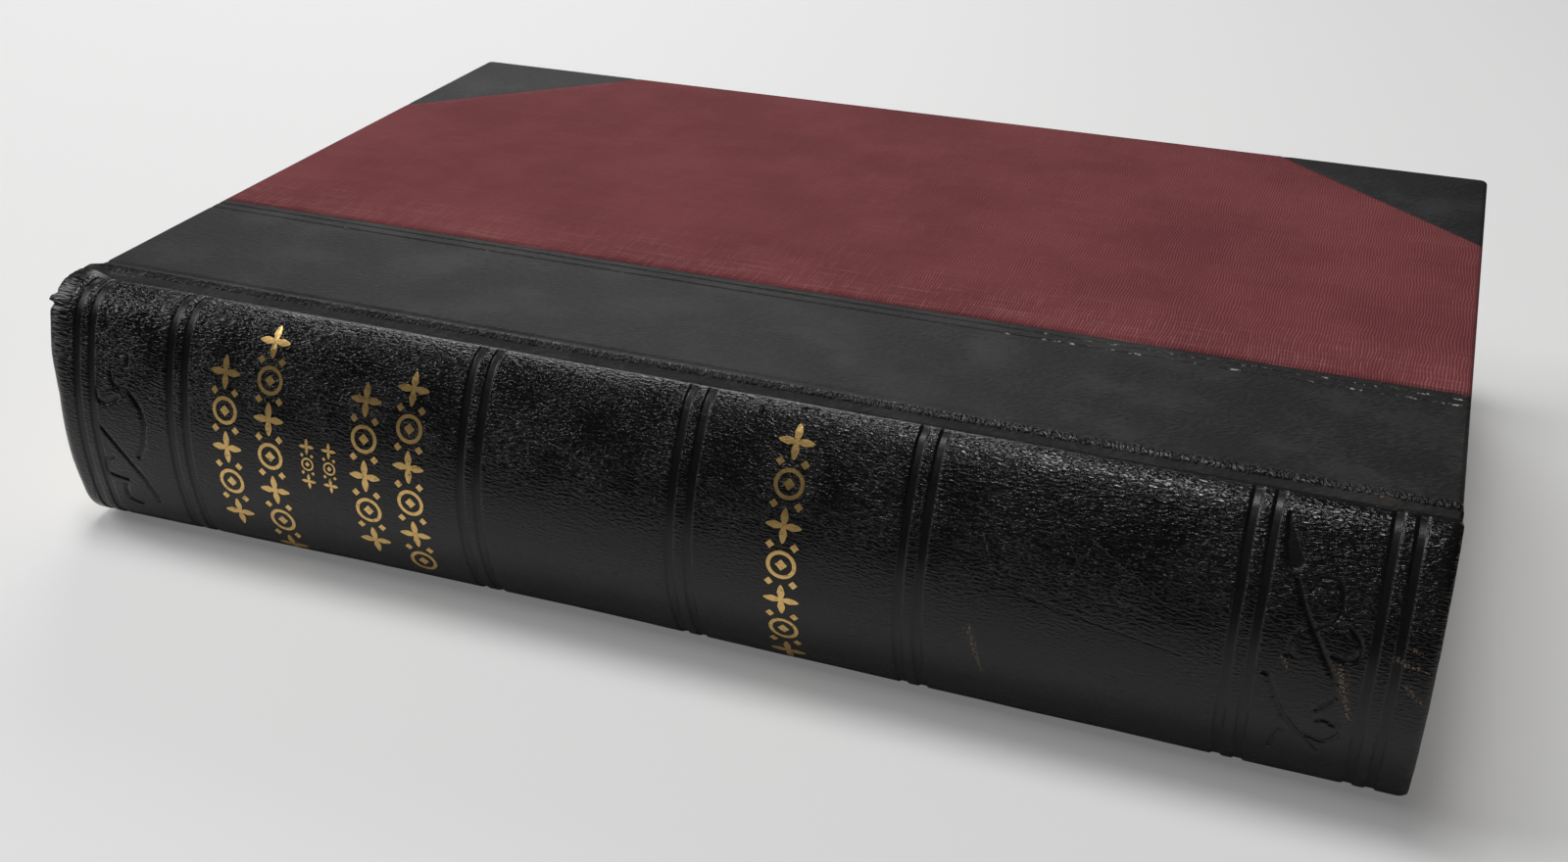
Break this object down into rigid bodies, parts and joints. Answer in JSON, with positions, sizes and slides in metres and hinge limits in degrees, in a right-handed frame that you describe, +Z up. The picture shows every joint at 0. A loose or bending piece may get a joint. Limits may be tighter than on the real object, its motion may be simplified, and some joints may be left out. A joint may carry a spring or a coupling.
{
  "type": "antique leather book",
  "caption": "Closed half leather book with rounded spine, blind tooled bands, gilt ornament, leather corners and ribbed cloth sides; both covers swing on their joints.",
  "frame": {"origin": "point on the back cover's outer face, midway along the boards and midway between spine and fore-edge", "axes": "+X from head to tail along the spine, +Y from spine to fore-edge, +Z up through the front cover"},
  "size_m": [0.255, 0.1811, 0.0512],
  "materials": {
    "pages": "toned page edges",
    "endpaper": "smooth, lightly toned",
    "kraft_paper": "unglazed",
    "spine_card": "plain",
    "binders_board": "dense grey board",
    "mull": "open starched weave",
    "tape": "flat linen weave",
    "endband": "silk, two colours",
    "spine_leather": "pebbled grain, semi-gloss, worn",
    "cover_leather": "fine grain, matt",
    "book_cloth": "fine ribbed weave, matt",
    "gold": "worn gold leaf"
  },
  "bodies": {
    "block": {"text_block": "pages", "front_flyleaf": "endpaper", "back_flyleaf": "endpaper", "sewing_tapes": "tape", "mull": "mull", "endband_head": "endband", "endband_tail": "endband", "hollow_back_tube": "kraft_paper", "spine_stiffener": "spine_card", "spine_leather": "spine_leather", "gilt_title_ornament": "gold", "gilt_lower_ornament": "gold"},
    "front_cover": {"front_board": "binders_board", "front_leather_strip": "cover_leather", "front_corner_leather_head": "cover_leather", "front_corner_leather_tail": "cover_leather", "front_cloth": "book_cloth", "front_board_lining": "kraft_paper", "front_pastedown": "endpaper"},
    "back_cover": {"back_board": "binders_board", "back_leather_strip": "cover_leather", "back_corner_leather_head": "cover_leather", "back_corner_leather_tail": "cover_leather", "back_cloth": "book_cloth", "back_board_lining": "kraft_paper", "back_pastedown": "endpaper"}
  },
  "joints": [
    {"name": "front_joint", "type": "hinge", "parent": "block", "child": "front_cover", "pos_m": [0, -0.0747, 0.0512], "axis": [1, 0, 0], "range_deg": [0, 180]},
    {"name": "back_joint", "type": "hinge", "parent": "block", "child": "back_cover", "pos_m": [0, -0.0747, 0], "axis": [-1, 0, 0], "range_deg": [0, 180]}
  ]
}
